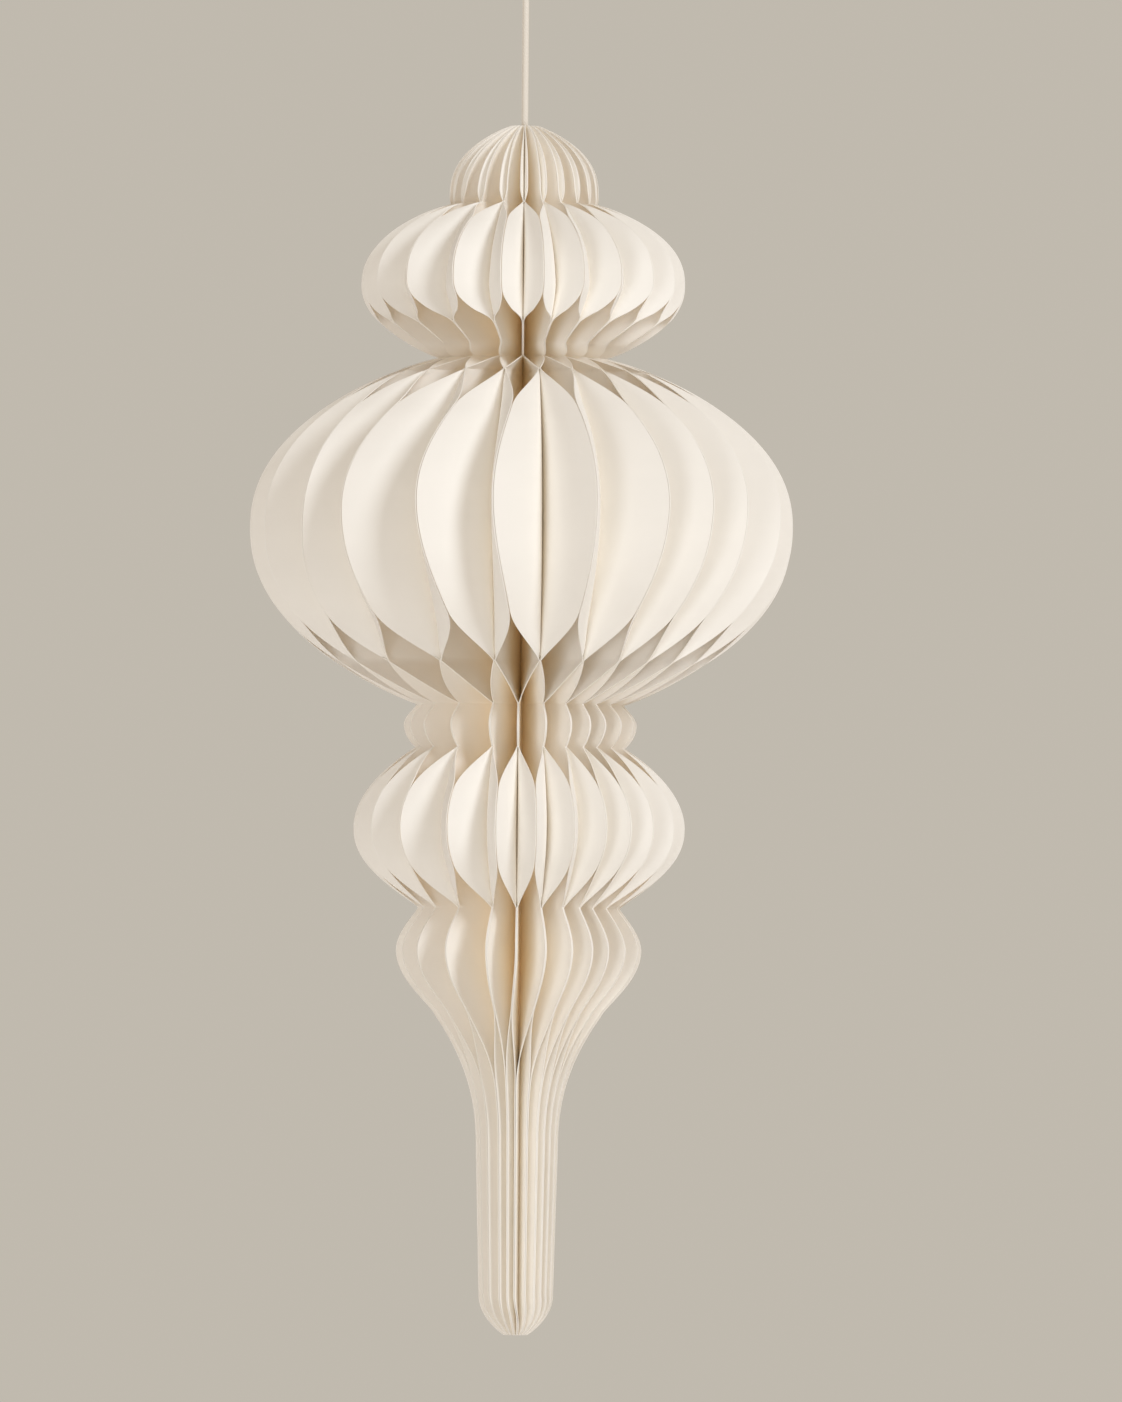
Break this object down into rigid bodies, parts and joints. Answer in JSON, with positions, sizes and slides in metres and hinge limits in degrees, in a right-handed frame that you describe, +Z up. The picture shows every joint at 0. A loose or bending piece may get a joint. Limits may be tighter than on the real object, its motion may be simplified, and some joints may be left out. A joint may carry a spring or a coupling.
{
  "type": "honeycomb paper decoration",
  "caption": "Hanging ornament of folded paper sheets fanned into a full circle, with a turned, tiered outline, open cells between the leaves and a corded loop on top.",
  "frame": {"origin": "the point inside the top of the hanging loop that rests on a hook", "axes": "+Z up along the spine and the cord, -Y towards the side that the picture shows, +X to the right in the picture"},
  "size_m": [0.2236, 0.2233, 0.6049],
  "materials": {
    "paper": "matt uncoated ivory card, with lighter cut edges",
    "binding": "sewn and glued thread, matt",
    "cord": "twisted cotton, matt"
  },
  "bodies": {
    "root": {"sheet_01": "paper", "sheet_02": "paper", "sheet_03": "paper", "sheet_04": "paper", "sheet_05": "paper", "sheet_06": "paper", "sheet_07": "paper", "sheet_08": "paper", "sheet_09": "paper", "sheet_10": "paper", "sheet_11": "paper", "sheet_12": "paper", "sheet_13": "paper", "sheet_14": "paper", "sheet_15": "paper", "sheet_16": "paper", "sheet_17": "paper", "sheet_18": "paper", "sheet_19": "paper", "sheet_20": "paper", "sheet_21": "paper", "sheet_22": "paper", "sheet_23": "paper", "sheet_24": "paper", "spine_binding": "binding", "hanging_cord": "cord", "loop_knot": "cord", "hanging_loop": "cord"}
  },
  "joints": []
}
